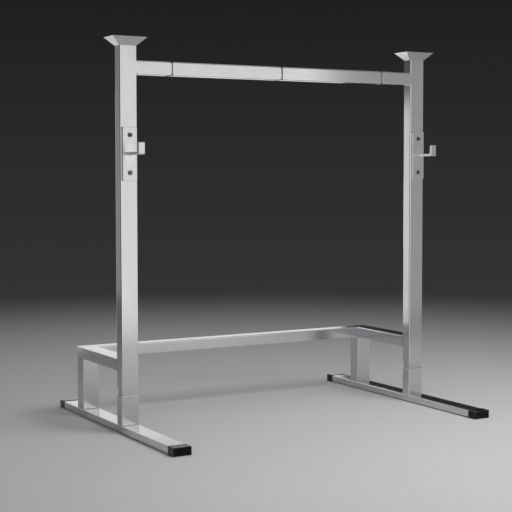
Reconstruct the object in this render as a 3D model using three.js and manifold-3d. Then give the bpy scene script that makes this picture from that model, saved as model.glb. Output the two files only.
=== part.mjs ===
// Squat stand: two columns on long feet, tied at the top by a crossbar made in sections and at
// the back by a low frame of side rails, rear posts and a beam. A J-hook for the barbell is
// bolted to the front of each column, and each column ends in a flared top.
// Millimetres, X to the right, Y to the rear, Z up. The origin is on the floor, midway between
// the two feet and midway along them.

import * as THREE from "three";
import { mergeVertices } from "three/addons/utils/BufferGeometryUtils.js";
import Module from "manifold-3d";

const wasm = await Module();
wasm.setup();

// Overall sizes.
const standWidth = 1205; // over the outer faces of the columns
const toeReach = 376; // from the front of the foot caps back to the front of the columns
const frameDepth = 383; // from the front of the columns back to the rear of the beam
const heelReach = 165; // from the rear of the beam back to the rear of the foot caps
const columnTop = 1249.5; // floor to the top end of the columns
const crossbarDrop = 46.5; // from the top end of the columns down to the top of the crossbar
const barRestHeight = 910; // floor to the top of the hook arms, where the bar lies
const railTop = 241.5; // floor to the top of the side rails and the beam
const neckBottom = 123.5; // floor to the top end of the column stubs
const neckHeight = 20; // length of spigot that shows between a stub and its column

// Steel tube sections.
const columnWidth = 60; // the feet, side rails and rear posts are as wide
const columnDepth = 40; // the crossbar is as deep
const crossbarHeight = 44;
const railHeight = 40; // the beam is as high
const beamDepth = 50; // the rear posts are as deep
const footHeight = 25;
const tubeWall = 3;
const footWall = 2;
const tubeCorner = 3; // outer radius of a tube's long edges
const boreCorner = 1; // inner radius of a tube's long edges

// Fits.
const seatGap = 0.1; // between pieces that are welded, bolted or seated face to face
const slideGap = 0.3; // on each side of a piece that slides into another
const cutOverrun = 2; // how far a cutting shape runs past the surface that it cuts

// Spigots: inner tubes that join two tubes end to end.
const spigotWall = 3;
const spigotGrip = 60; // length hidden in each of the two tubes
const crossbarGroove = 5; // length of spigot that shows at each crossbar joint
const crossbarStubLength = 123.5; // the piece of crossbar that is welded to a column

// Lock screws, which hold the tubes on their spigots, with button heads.
const lockScrew = { shank: 6, head: 11, headHeight: 3.2, socket: 4, socketDepth: 1.8 };
const lockScrewInset = 25; // from the end of the tube to its screw
const threadRunout = 2; // how far a screw runs past what it is threaded into

// Foot caps: moulded boots over the ends of the feet.
const capLength = 36;
const capWall = 1.2; // skin round the tube
const capEnd = 4; // thickness of the closed end
const capRound = 1; // rounding of its edges

// Bolts that hold the rear posts on the feet, from inside the feet.
const postBolt = { shank: 10, head: 17.5, headHeight: 5.5, socket: 6, socketDepth: 3 };
const accessHole = 22; // in the underside of a foot, below the bolt
const nutPlateThickness = 8;

// Hook plates.
const plateWidth = 50;
const plateHeight = 172;
const plateThickness = 9.5;
const plateCorner = 1.5;
const plateDrop = 6; // from the top of the hook arm down to the middle of the plate
const hookBolt = { shank: 8, head: 13, headHeight: 5, socket: 6, socketDepth: 3 };
const boltSpacing = 121;
const headSink = 0.6; // how deep the head lies below the face of the plate
const headClearance = 1.2; // between the head and the wall of its counterbore
const headChamferShare = 0.125; // of the height of a straight-sided head
const nutAcrossFlats = 13;
const nutHeight = 6.5;

// J-hooks, cut from thick plate.
const hookWidth = 22;
const hookReach = 90.5; // from the front of the hook plate to the front of the lip
const hookStock = 9.5; // thickness of the arm and of the lip
const lipHeight = 30; // above the top of the arm
const hookInnerRadius = 8;
const hookOuterRadius = 5;
const lipRound = 2; // rounding of the lip's top edges

// Flared tops.
const flareHeight = 27.5;
const rimWidth = 120;
const rimDepth = 80;
const rimCorner = 1.5;
const flareWall = 3; // measured level
const lidThickness = 2.5;

// Steps in each rounded corner, in the rounding of a cap, and round each screw and hole.
const cornerSteps = 3;
const capRoundSteps = 2;
const roundSteps = 20;

// Places that follow from these sizes.
const footSpan = toeReach + frameDepth + heelReach;
const columnX = (standWidth - columnWidth) / 2;
const innerFace = columnX - columnWidth / 2;
const columnFront = toeReach - footSpan / 2;
const columnY = columnFront + columnDepth / 2;
const columnRear = columnFront + columnDepth;
const frameRear = columnFront + frameDepth;
const postY = frameRear - beamDepth / 2;
const footBottom = capWall + slideGap;
const footTop = footBottom + footHeight;
const columnBottom = neckBottom + neckHeight;
const railZ = railTop - railHeight / 2;
const crossbarZ = columnTop - crossbarDrop - crossbarHeight / 2;
const crossbarJoint = innerFace - seatGap - crossbarStubLength - crossbarGroove / 2;
const plateZ = barRestHeight - plateDrop;
const plateFront = columnFront - seatGap - plateThickness;

const satinSteel = () =>
  new THREE.MeshStandardMaterial({ color: 0xc8cacd, roughness: 0.36, metalness: 0.9 });
const blackPlastic = () =>
  new THREE.MeshStandardMaterial({ color: 0x0e0e0f, roughness: 0.3, metalness: 0 });
const darkBolt = () =>
  new THREE.MeshStandardMaterial({ color: 0x5a5c60, roughness: 0.42, metalness: 0.9 });

// Lays an extruded section, which is drawn in X and Y and extruded along Z, along the named
// axis. Along X or Y, the second direction of the drawing ends up upright.
function layAlong(geometry, axis) {
  if (axis === "z") return geometry;
  return geometry.rotateX(Math.PI / 2).rotateZ(axis === "x" ? Math.PI / 2 : Math.PI);
}

// Points round a rectangle with rounded corners, centred on zero, anticlockwise.
function roundedRectangle(width, height, corner) {
  const points = [];
  for (let quarter = 0; quarter < 4; quarter++) {
    const signX = quarter === 0 || quarter === 3 ? 1 : -1;
    const signY = quarter < 2 ? 1 : -1;
    for (let step = 0; step <= cornerSteps; step++) {
      const angle = ((quarter + step / cornerSteps) * Math.PI) / 2;
      const x = signX * (width / 2 - corner) + corner * Math.cos(angle);
      const y = signY * (height / 2 - corner) + corner * Math.sin(angle);
      points.push(new THREE.Vector2(x, y));
    }
  }
  return points;
}

// Points round a hexagon, given the distance across its flats.
function hexagon(acrossFlats) {
  const radius = acrossFlats / Math.sqrt(3);
  return Array.from({ length: 6 }, (_, i) => {
    const angle = (i * Math.PI) / 3;
    return new THREE.Vector2(radius * Math.cos(angle), radius * Math.sin(angle));
  });
}

// An outline extruded to a length, centred on zero, lying along an axis.
function bar(outline, length, axis, hole) {
  const shape = new THREE.Shape(outline);
  if (hole) shape.holes.push(new THREE.Path(hole));
  const geometry = new THREE.ExtrudeGeometry(shape, { depth: length, bevelEnabled: false });
  return layAlong(geometry.translate(0, 0, -length / 2), axis);
}

// A length of rectangular tube, centred on zero.
function tube(width, height, wall, length, axis) {
  const outside = roundedRectangle(width, height, tubeCorner);
  const bore = roundedRectangle(width - 2 * wall, height - 2 * wall, boreCorner);
  return bar(outside, length, axis, bore);
}

// A spigot that fits the bore of a tube, centred on zero.
function spigot(width, height, length, axis) {
  const fit = 2 * (tubeWall + slideGap);
  const outside = roundedRectangle(width - fit, height - fit, boreCorner + slideGap);
  const inside = fit + 2 * spigotWall;
  return bar(outside, length, axis, roundedRectangle(width - inside, height - inside, boreCorner));
}

// A round cutter or pin along Y or Z.
function round(diameter, length, axis) {
  const radius = diameter / 2;
  const geometry = new THREE.CylinderGeometry(radius, radius, length, roundSteps);
  return axis === "z" ? geometry.rotateX(Math.PI / 2) : geometry;
}

// A closed geometry as a solid that can be cut.
function toSolid(geometry) {
  const bare = geometry.clone();
  bare.deleteAttribute("normal");
  bare.deleteAttribute("uv");
  const merged = mergeVertices(bare);
  return new wasm.Manifold(
    new wasm.Mesh({
      numProp: 3,
      vertProperties: merged.attributes.position.array,
      triVerts: Uint32Array.from(merged.index.array),
    }),
  );
}

// A geometry less each of the cutters.
function cut(geometry, cutters) {
  const solid = cutters.reduce((rest, cutter) => rest.subtract(toSolid(cutter)), toSolid(geometry));
  const mesh = solid.getMesh();
  const result = new THREE.BufferGeometry();
  result.setAttribute("position", new THREE.BufferAttribute(mesh.vertProperties, 3));
  result.setIndex(new THREE.BufferAttribute(mesh.triVerts, 1));
  return result;
}

// A skin over rings of points that all have the same count. Each ring is joined to the next.
// A belt is also joined from its last ring to its first, and a stack is closed by flat ends.
function loft(rings, isBelt) {
  const count = rings[0].length;
  const index = [];
  const joins = isBelt ? rings.length : rings.length - 1;
  for (let r = 0; r < joins; r++) {
    const low = r * count;
    const high = ((r + 1) % rings.length) * count;
    for (let i = 0; i < count; i++) {
      const next = (i + 1) % count;
      index.push(low + i, low + next, high + next, low + i, high + next, high + i);
    }
  }
  const last = (rings.length - 1) * count;
  for (let i = 1; i < count - 1 && !isBelt; i++) {
    index.push(0, i + 1, i, last, last + i, last + i + 1);
  }
  return new THREE.BufferGeometry().setFromPoints(rings.flat()).setIndex(index);
}

// A tube's end cut to a mitre: nothing comes off its outer face, which is at the greater value
// across, and the run comes off its inner face.
function mitre(geometry, along, across, width, run, ends) {
  const places = geometry.attributes.position;
  const point = new THREE.Vector3();
  for (let i = 0; i < places.count; i++) {
    point.fromBufferAttribute(places, i);
    const end = Math.sign(point[along]);
    if (ends.includes(end)) point[along] -= end * run * (1 / 2 - point[across] / width);
    places.setXYZ(i, point.x, point.y, point.z);
  }
  return geometry;
}

// A screw along Y with its head to the rear and the seat of the head at zero. A head is either
// domed or has straight sides with a small chamfer, and it has a hexagon socket.
function screw(size, length, isDomed) {
  const radius = size.head / 2;
  const chamfer = size.headHeight * headChamferShare;
  const profile = [
    new THREE.Vector2(0, -length),
    new THREE.Vector2(size.shank / 2, -length),
    new THREE.Vector2(size.shank / 2, 0),
    new THREE.Vector2(radius, 0),
  ];
  if (isDomed) {
    for (let step = 1; step <= cornerSteps; step++) {
      const angle = (step / (cornerSteps + 1)) * (Math.PI / 2);
      profile.push(
        new THREE.Vector2(radius * Math.cos(angle), size.headHeight * Math.sin(angle)),
      );
    }
  } else {
    profile.push(
      new THREE.Vector2(radius, size.headHeight - chamfer),
      new THREE.Vector2(radius - chamfer, size.headHeight),
    );
  }
  const top = profile[profile.length - 1].y;
  profile.push(new THREE.Vector2(0, top));
  const body = new THREE.LatheGeometry(profile, roundSteps);
  const depth = size.socketDepth + cutOverrun;
  const socket = bar(hexagon(size.socket), depth, "y");
  return cut(body, [socket.translate(0, top - size.socketDepth + depth / 2, 0)]);
}

// A foot, with a hole for the post bolt in its top and an access hole below it.
function footTube() {
  const length = footSpan - 2 * (capEnd + slideGap);
  const reach = footHeight / 2;
  const boltHole = round(postBolt.shank + 2 * slideGap, reach + cutOverrun, "z");
  const access = round(accessHole, reach + cutOverrun, "z");
  const middle = (reach + cutOverrun) / 2;
  return cut(tube(columnWidth, footHeight, footWall, length, "y"), [
    boltHole.translate(0, postY, middle),
    access.translate(0, postY, -middle),
  ]);
}

// A moulded boot for the end of a foot, its closed end towards the front.
function footCap() {
  const fit = 2 * (capWall + slideGap);
  const shape = new THREE.Shape(
    roundedRectangle(columnWidth + fit, footHeight + fit, tubeCorner + fit / 2),
  );
  const boot = new THREE.ExtrudeGeometry(shape, {
    depth: capLength - 2 * capRound,
    bevelThickness: capRound,
    bevelSize: capRound,
    bevelOffset: -capRound,
    bevelSegments: capRoundSteps,
  });
  layAlong(boot.translate(0, 0, capRound - capLength / 2), "y");
  const pocketOutline = roundedRectangle(
    columnWidth + 2 * slideGap,
    footHeight + 2 * slideGap,
    tubeCorner,
  );
  const pocket = bar(pocketOutline, capLength, "y");
  return cut(boot, [pocket.translate(0, capEnd, 0)]);
}

// The lower part of a column, welded on its foot.
function columnStub() {
  return tube(columnWidth, columnDepth, tubeWall, neckBottom - footTop - seatGap, "z");
}

// The spigot between stub and column, with a hole for its lock screw in the rear.
function columnSpigot() {
  const length = neckHeight + 2 * spigotGrip;
  const hole = round(lockScrew.shank + 2 * slideGap, columnDepth, "y");
  const height = length / 2 - spigotGrip + lockScrewInset;
  return cut(spigot(columnWidth, columnDepth, length, "z"), [
    hole.translate(0, columnDepth / 2, height),
  ]);
}

// A column, with two holes in the front for the hook bolts and one in the rear for the lock
// screw.
function columnTube() {
  const length = columnTop - columnBottom;
  const middle = columnBottom + length / 2;
  const boltHoles = [-1, 1].map((side) =>
    round(hookBolt.shank + 2 * slideGap, columnDepth, "y").translate(
      0,
      -columnDepth / 2,
      plateZ - middle + (side * boltSpacing) / 2,
    ),
  );
  const lockHole = round(lockScrew.shank + 2 * slideGap, columnDepth, "y");
  lockHole.translate(0, columnDepth / 2, lockScrewInset - length / 2);
  return cut(tube(columnWidth, columnDepth, tubeWall, length, "z"), [...boltHoles, lockHole]);
}

// A flared top: four sloping sheets joined at their edges, open to the column below.
function topFlare() {
  const ring = (width, depth, corner, height) =>
    roundedRectangle(width, depth, corner).map((p) => new THREE.Vector3(p.x, p.y, height));
  const wall = 2 * flareWall;
  return loft(
    [
      ring(columnWidth, columnDepth, tubeCorner, 0),
      ring(rimWidth, rimDepth, rimCorner, flareHeight),
      ring(rimWidth - wall, rimDepth - wall, rimCorner, flareHeight),
      ring(columnWidth - wall, columnDepth - wall, boreCorner, 0),
    ],
    true,
  );
}

// The lid that closes a flared top, with edges that slope as the flare does.
function flareLid() {
  const ring = (height) => {
    const share = height / flareHeight;
    const less = 2 * (flareWall + slideGap);
    const width = THREE.MathUtils.lerp(columnWidth, rimWidth, share) - less;
    const depth = THREE.MathUtils.lerp(columnDepth, rimDepth, share) - less;
    const points = roundedRectangle(width, depth, rimCorner);
    return points.map((p) => new THREE.Vector3(p.x, p.y, height));
  };
  return loft([ring(flareHeight - lidThickness), ring(flareHeight)], false);
}

// A rear post, between the foot and the corner of the frame.
function rearPost() {
  const length = railTop - railHeight - footTop - 2 * seatGap;
  return tube(columnWidth, beamDepth, tubeWall, length, "z");
}

// The plate in the lower end of a rear post that its bolt is threaded into.
function postNutPlate() {
  const fit = 2 * (tubeWall + slideGap);
  const outline = roundedRectangle(columnWidth - fit, beamDepth - fit, boreCorner + slideGap);
  const hole = round(postBolt.shank + 2 * slideGap, nutPlateThickness + cutOverrun, "z");
  return cut(bar(outline, nutPlateThickness, "z"), [hole]);
}

// A side rail, from the rear of a column to its mitre at the rear corner.
function sideRail() {
  const length = frameRear - columnRear - seatGap;
  const rail = tube(columnWidth, railHeight, tubeWall, length, "y");
  return mitre(rail, "y", "x", columnWidth, beamDepth, [1]);
}

// The beam across the back, with a mitre at each end.
function rearBeam() {
  const beam = tube(beamDepth, railHeight, tubeWall, standWidth - 2 * seatGap, "x");
  return mitre(beam, "x", "y", beamDepth, columnWidth, [-1, 1]);
}

// The plate that carries a hook, with a counterbored hole for each bolt.
function hookPlate() {
  const outline = roundedRectangle(plateWidth, plateHeight, plateCorner);
  const boreDepth = hookBolt.headHeight + headSink;
  const cutters = [-1, 1].flatMap((side) => {
    const height = (side * boltSpacing) / 2;
    const hole = round(hookBolt.shank + 2 * slideGap, plateThickness + cutOverrun, "y");
    const bore = round(hookBolt.head + 2 * headClearance, boreDepth + cutOverrun, "y");
    const boreMiddle = boreDepth / 2 - cutOverrun / 2 - plateThickness / 2;
    return [hole.translate(0, 0, height), bore.translate(0, boreMiddle, height)];
  });
  return cut(bar(outline, plateThickness, "y"), cutters);
}

// A J-hook: an arm that runs forward from the plate and a lip that turns up at its end. The
// outline gives the distance forward from the plate and the height above the arm's underside.
function jHook() {
  const top = hookStock + lipHeight;
  const lipBack = hookReach - hookStock;
  const shape = new THREE.Shape();
  shape.moveTo(seatGap, 0);
  shape.absarc(hookReach - hookOuterRadius, hookOuterRadius, hookOuterRadius, -Math.PI / 2, 0);
  shape.absarc(hookReach - lipRound, top - lipRound, lipRound, 0, Math.PI / 2);
  shape.absarc(lipBack + lipRound, top - lipRound, lipRound, Math.PI / 2, Math.PI);
  shape.absarc(
    lipBack - hookInnerRadius,
    hookStock + hookInnerRadius,
    hookInnerRadius,
    0,
    -Math.PI / 2,
    true,
  );
  shape.lineTo(seatGap, hookStock);
  const hook = new THREE.ExtrudeGeometry(shape, {
    depth: hookWidth,
    bevelEnabled: false,
    curveSegments: 2 * cornerSteps,
  });
  return hook.translate(0, 0, -hookWidth / 2).rotateX(Math.PI / 2).rotateZ(-Math.PI / 2);
}

// A bolt of a hook plate, with its head to the front.
function hookPlateBolt() {
  const grip = plateThickness - hookBolt.headHeight - headSink + seatGap + tubeWall;
  return screw(hookBolt, grip + seatGap + nutHeight + threadRunout, false).rotateX(Math.PI);
}

// A nut welded inside the front wall of a column.
function weldNut() {
  const hole = round(hookBolt.shank + 2 * slideGap, nutHeight + cutOverrun, "y");
  return cut(bar(hexagon(nutAcrossFlats), nutHeight, "y"), [hole]);
}

// A screw that locks a tube on its spigot.
function spigotScrew() {
  return screw(lockScrew, tubeWall + slideGap + spigotWall + threadRunout, true);
}

// The bolt that holds a rear post on its foot, with its head below.
function rearPostBolt() {
  const length = footWall + 2 * seatGap + nutPlateThickness + threadRunout;
  return screw(postBolt, length, true).rotateX(-Math.PI / 2);
}

// The part of the crossbar that is welded to a column.
function crossbarStub() {
  return tube(columnDepth, crossbarHeight, tubeWall, crossbarStubLength, "x");
}

// The part of the crossbar between two joints, with a hole for a lock screw near each end.
function crossbarTube() {
  const length = crossbarJoint - crossbarGroove;
  const holes = [-1, 1].map((side) =>
    round(lockScrew.shank + 2 * slideGap, columnDepth, "y").translate(
      side * (length / 2 - lockScrewInset),
      columnDepth / 2,
      0,
    ),
  );
  return cut(tube(columnDepth, crossbarHeight, tubeWall, length, "x"), holes);
}

// A spigot of the crossbar, with a hole for a lock screw on each given side of its middle.
function crossbarSpigot(sides) {
  const length = crossbarGroove + 2 * spigotGrip;
  const holes = sides.map((side) =>
    round(lockScrew.shank + 2 * slideGap, columnDepth, "y").translate(
      side * (crossbarGroove / 2 + lockScrewInset),
      columnDepth / 2,
      0,
    ),
  );
  return cut(spigot(columnDepth, crossbarHeight, length, "x"), holes);
}

// A named mesh with its middle or its seat at the given place.
function mesh(name, geometry, material, x, y, z) {
  const flat = geometry.index ? geometry.toNonIndexed() : geometry;
  flat.computeVertexNormals();
  const result = new THREE.Mesh(flat, material);
  result.name = name;
  result.position.set(x, y, z);
  return result;
}

// The foot with its caps and the bolt that holds the rear post.
function footPieces(side) {
  const middle = footBottom + footHeight / 2;
  const capY = (footSpan - capLength) / 2;
  const rearCap = footCap().rotateZ(Math.PI);
  const headSeat = footTop - footWall - seatGap;
  const plateMiddle = footTop + seatGap + nutPlateThickness / 2;
  return [
    mesh(`${side}_foot_tube`, footTube(), satinSteel(), columnX, 0, middle),
    mesh(`${side}_foot_cap_front`, footCap(), blackPlastic(), columnX, -capY, middle),
    mesh(`${side}_foot_cap_rear`, rearCap, blackPlastic(), columnX, capY, middle),
    mesh(`${side}_post_bolt`, rearPostBolt(), darkBolt(), columnX, postY, headSeat),
    mesh(`${side}_post_nut_plate`, postNutPlate(), satinSteel(), columnX, postY, plateMiddle),
  ];
}

// The column from its stub to its flared top.
function columnPieces(side) {
  const stubMiddle = (footTop + seatGap + neckBottom) / 2;
  const spigotMiddle = neckBottom + neckHeight / 2;
  const columnMiddle = (columnBottom + columnTop) / 2;
  const flareZ = columnTop + seatGap;
  const screwY = columnRear + seatGap;
  const screwZ = columnBottom + lockScrewInset;
  return [
    mesh(`${side}_column_stub`, columnStub(), satinSteel(), columnX, columnY, stubMiddle),
    mesh(`${side}_column_spigot`, columnSpigot(), satinSteel(), columnX, columnY, spigotMiddle),
    mesh(`${side}_column_tube`, columnTube(), satinSteel(), columnX, columnY, columnMiddle),
    mesh(`${side}_column_lock_screw`, spigotScrew(), darkBolt(), columnX, screwY, screwZ),
    mesh(`${side}_top_flare`, topFlare(), satinSteel(), columnX, columnY, flareZ),
    mesh(`${side}_flare_lid`, flareLid(), satinSteel(), columnX, columnY, flareZ),
  ];
}

// The hook with its plate, bolts and nuts.
function hookPieces(side) {
  const plateY = plateFront + plateThickness / 2;
  const armBottom = barRestHeight - hookStock;
  const headSeat = plateFront + headSink + hookBolt.headHeight - seatGap;
  const nutY = columnFront + tubeWall + seatGap + nutHeight / 2;
  const fasteners = [
    ["upper", plateZ + boltSpacing / 2],
    ["lower", plateZ - boltSpacing / 2],
  ].flatMap(([place, height]) => [
    mesh(`${side}_hook_bolt_${place}`, hookPlateBolt(), darkBolt(), columnX, headSeat, height),
    mesh(`${side}_hook_nut_${place}`, weldNut(), satinSteel(), columnX, nutY, height),
  ]);
  return [
    mesh(`${side}_hook_plate`, hookPlate(), satinSteel(), columnX, plateY, plateZ),
    mesh(`${side}_j_hook`, jHook(), satinSteel(), columnX, plateFront, armBottom),
    ...fasteners,
  ];
}

// The rear post and side rail of one side.
function rearFramePieces(side) {
  const postMiddle = (footTop + railTop - railHeight) / 2;
  const railMiddle = (columnRear + seatGap + frameRear) / 2;
  return [
    mesh(`${side}_rear_post`, rearPost(), satinSteel(), columnX, postY, postMiddle),
    mesh(`${side}_side_rail`, sideRail(), satinSteel(), columnX, railMiddle, railZ),
  ];
}

// One half of the crossbar, without the spigot in the middle.
function crossbarPieces(side) {
  const stubMiddle = crossbarJoint + (crossbarGroove + crossbarStubLength) / 2;
  const screwAt = [
    ["outer", crossbarJoint - crossbarGroove / 2 - lockScrewInset],
    ["inner", crossbarGroove / 2 + lockScrewInset],
  ];
  const tubeMiddle = crossbarJoint / 2;
  const screwY = columnRear + seatGap;
  const y = columnY;
  const z = crossbarZ;
  return [
    mesh(`${side}_crossbar_stub`, crossbarStub(), satinSteel(), stubMiddle, y, z),
    mesh(`${side}_crossbar_tube`, crossbarTube(), satinSteel(), tubeMiddle, y, z),
    mesh(`${side}_crossbar_spigot`, crossbarSpigot([-1]), satinSteel(), crossbarJoint, y, z),
    ...screwAt.map(([place, x]) =>
      mesh(`${side}_crossbar_screw_${place}`, spigotScrew(), darkBolt(), x, screwY, z),
    ),
  ];
}

// One side of the stand. Its places are those of the right side, and the left one is mirrored.
function sideGroup(side, direction) {
  const group = new THREE.Group();
  group.add(
    ...footPieces(side),
    ...columnPieces(side),
    ...hookPieces(side),
    ...rearFramePieces(side),
    ...crossbarPieces(side),
  );
  group.scale.x = direction;
  return group;
}

const squatStand = new THREE.Group();
squatStand.name = "squat_stand";
squatStand.add(sideGroup("left", -1), sideGroup("right", 1));
squatStand.add(mesh("rear_beam", rearBeam(), satinSteel(), 0, postY, railZ));
squatStand.add(
  mesh("crossbar_middle_spigot", crossbarSpigot([-1, 1]), satinSteel(), 0, columnY, crossbarZ),
);

export default squatStand;
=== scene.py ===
"""Squat stand: the visible pieces, finishes and studio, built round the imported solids.

Every piece takes its place and size from the solid that it stands for. Metres, X to the right,
Y to the rear, Z up.
"""

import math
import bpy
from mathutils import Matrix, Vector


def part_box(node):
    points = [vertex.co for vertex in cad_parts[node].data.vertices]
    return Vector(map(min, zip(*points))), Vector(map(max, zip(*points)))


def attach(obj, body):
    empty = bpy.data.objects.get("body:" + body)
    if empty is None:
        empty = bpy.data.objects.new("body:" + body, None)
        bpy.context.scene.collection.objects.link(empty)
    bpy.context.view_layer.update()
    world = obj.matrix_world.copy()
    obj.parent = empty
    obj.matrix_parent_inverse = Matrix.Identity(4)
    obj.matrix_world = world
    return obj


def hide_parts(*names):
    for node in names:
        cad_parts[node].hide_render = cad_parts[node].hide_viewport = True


bl_info = {
    "name": "Squat Stand",
    "version": (1, 0, 0),
    "blender": (4, 5, 0),
    "location": "View3D > Sidebar > Squat Stand",
    "description": "Builds the visible pieces of a steel squat stand round its packed solids",
    "category": "Add Mesh",
}

import bpy
import numpy as np
from bpy.props import FloatProperty, FloatVectorProperty, PointerProperty
from mathutils import Matrix, Vector

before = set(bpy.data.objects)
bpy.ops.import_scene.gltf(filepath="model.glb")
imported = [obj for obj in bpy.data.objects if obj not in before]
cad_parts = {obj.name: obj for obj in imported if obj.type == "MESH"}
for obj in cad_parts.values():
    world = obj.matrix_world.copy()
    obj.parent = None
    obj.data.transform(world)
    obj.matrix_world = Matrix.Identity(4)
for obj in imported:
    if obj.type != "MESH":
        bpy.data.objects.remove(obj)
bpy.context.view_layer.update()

MM = 0.001
QUARTER = math.pi / 2
SIDES = {"left": -1, "right": 1}
# For each direction that a bar can lie in: the two directions across it, then its own.
AXES = {"x": (1, 2, 0), "y": (2, 0, 1), "z": (0, 1, 2)}

# Steel sections, as in the solids.
TUBE_WALL = 3 * MM
FOOT_WALL = 2 * MM
TUBE_CORNER = 3 * MM
BORE_CORNER = 1 * MM
SPIGOT_CORNER = 1.3 * MM
BEAM_MITRE = 60 * MM
RAIL_MITRE = 50 * MM

# Steps in round edges, and the flat kept beside each of them so that its shading stays narrow.
CORNER_STEPS = 6
BREAK_STEPS = 3
GUARD = 1.2 * MM
# An edge is sharp from this angle, and points this close are one point.
SHARP_ANGLE = math.radians(35)
MERGE_DISTANCE = MM / 1000
# The bright rim of a sawn end, and the mark of what lies inside it, the end face and the bore,
# which the steel's finish paints dark with shade.
SAWN_RIM = 0.5 * MM
SAWN_SHADE_MARK = -1.0
# Five flats beside each corner carry the rounded end of a tube, as far as 9 mm from its top.
CROWN_FLATS = GUARD * np.arange(1, 6)

# Boots over the ends of the feet.
BOOT_WALL = 1.2 * MM
BOOT_END = 4 * MM
BOOT_CORNER = 2.6 * MM
BOOT_ROUND = 1.2 * MM
BOOT_LIP = 3 * MM
BOOT_STEP = 0.3 * MM
# The share of the edge grey, wear and painted highlight, that the small step gets.
BOOT_STEP_MARK = 0.3
BOOT_ROUND_STEPS = 6

# Flared tops.
FLARE_WALL = 3 * MM
FLARE_CORNER = 1.5 * MM
LID_PLAY = 0.3 * MM

# Hook plates and hooks.
PLATE_CORNER = 2.5 * MM
BOLT_SPACING = 121 * MM
COUNTERBORE = 15.4 * MM
COUNTERBORE_DEPTH = 5.6 * MM
BOLT_HOLE = 8.6 * MM
BORE_MARK = 0.5
HOOK_STOCK = 9.5 * MM
HOOK_BEND_INSIDE = 8 * MM
HOOK_BEND_OUTSIDE = 5 * MM
HOOK_TIP = 2 * MM
HOOK_CORNER = 1.6 * MM
BEND_STEPS = 12
TIP_STEPS = 4
# Steps down half the side of a plate, and across its top and its middle.
SIDE_STEPS = 8
SEAM_STEPS = 6

# Screws: shank, head, head height, width across the flats of the socket, depth of the socket.
HOOK_BOLT = (8 * MM, 13 * MM, 5 * MM, 6 * MM, 3 * MM)
LOCK_SCREW = (6 * MM, 11 * MM, 3.2 * MM, 4 * MM, 1.8 * MM)
TURN_STEPS = 48
# Shares: the break of an edge, of the head's height, and its inner part; the dome's width and
# height, of a quarter turn; the mouth and the point of the socket, of its width.
BREAK_SHARE = 0.125
INNER_BREAK_SHARE = 0.3
DOME_TURN_SHARE = 0.72
DOME_RISE_SHARE = 0.75
DOME_STEPS = 8
MOUTH_SHARE = 0.6
POINT_SHARE = 0.2

# Welds: steps along a ripple and across the bead, the straight share of the bulge, how far
# ripples lag in the middle, in pitches, and how much they swell it, in legs. The ends narrow
# over so many legs, to this share. The hooks' welds are smaller.
RIPPLE_STEPS = 6
BEAD_STEPS = 8
STRAIGHT_SHARE = 0.6
RIPPLE_LAG = 0.45
RIPPLE_SWELL = 0.06
TAPER_LEGS = 1.5
TAPER_SHARE = 0.1
HOOK_WELD_SHARE = 0.7


def a_length(name, description, default):
    """A length that a user can set."""
    return FloatProperty(name=name, description=description, default=default, unit="LENGTH")


def an_angle(name, description, degrees):
    """An angle that a user can set, with its default in degrees."""
    turn = math.radians(degrees)
    return FloatProperty(name=name, description=description, default=turn, unit="ROTATION")


def a_colour(name, description, default):
    """A colour that a user can set."""
    return FloatVectorProperty(
        name=name, description=description, default=default, subtype="COLOR"
    )


class StandShape(bpy.types.PropertyGroup):
    """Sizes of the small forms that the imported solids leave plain."""

    edge_break: a_length("Edge Break", "Rounding of the cut ends of the tubes", 0.4 * MM)
    plate_break: a_length("Plate Break", "Rounding of the edges of the plates and hooks", 1.0 * MM)
    joint_round: a_length("Joint Rounding", "Rounding of a tube's end at a bar joint", 9.0 * MM)
    weld_leg: a_length("Weld Leg", "Height of the fillet welds in the inner corners", 1.8 * MM)
    weld_pitch: a_length("Weld Pitch", "Distance between two ripples of a weld", 1.5 * MM)


class StandFinish(bpy.types.PropertyGroup):
    """Colours and roughness of the finishes."""

    steel_colour: a_colour("Steel Colour", "Colour of the satin steel", (0.61, 0.618, 0.632))
    steel_roughness: FloatProperty(
        name="Steel Roughness",
        description="Roughness of the satin steel",
        default=0.17,
        subtype="FACTOR",
    )
    bolt_colour: a_colour("Bolt Colour", "Colour of the oiled screws", (0.07, 0.071, 0.074))
    plastic_colour: a_colour("Plastic Colour", "Colour of the boots", (0.006, 0.006, 0.0065))


class StandStage(bpy.types.PropertyGroup):
    """The floor, the light and the camera."""

    floor_colour: a_colour("Floor Colour", "Colour of the studio floor", (0.55, 0.55, 0.55))
    backdrop_colour: a_colour("Backdrop Colour", "Colour behind the floor", (0.09, 0.09, 0.092))
    camera_place: FloatVectorProperty(
        name="Camera Place",
        description="Where the camera stands",
        default=(-2.2220, -3.7833, 0.8474),
        subtype="TRANSLATION",
    )
    camera_heading: an_angle("Camera Heading", "Direction, clockwise from the rear", 29.445)
    camera_pitch: an_angle("Camera Pitch", "How far the camera looks up", -3.055)
    camera_roll: an_angle("Camera Roll", "How far the camera leans about its line of sight", -0.09)
    camera_lens: FloatProperty(
        name="Camera Lens",
        description="Focal length of the camera",
        default=88.33,
        unit="CAMERA",
    )


def span(node):
    """The lowest and the highest corner of a solid, as arrays."""
    lo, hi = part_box(node)
    return np.array(lo), np.array(hi)


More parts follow.
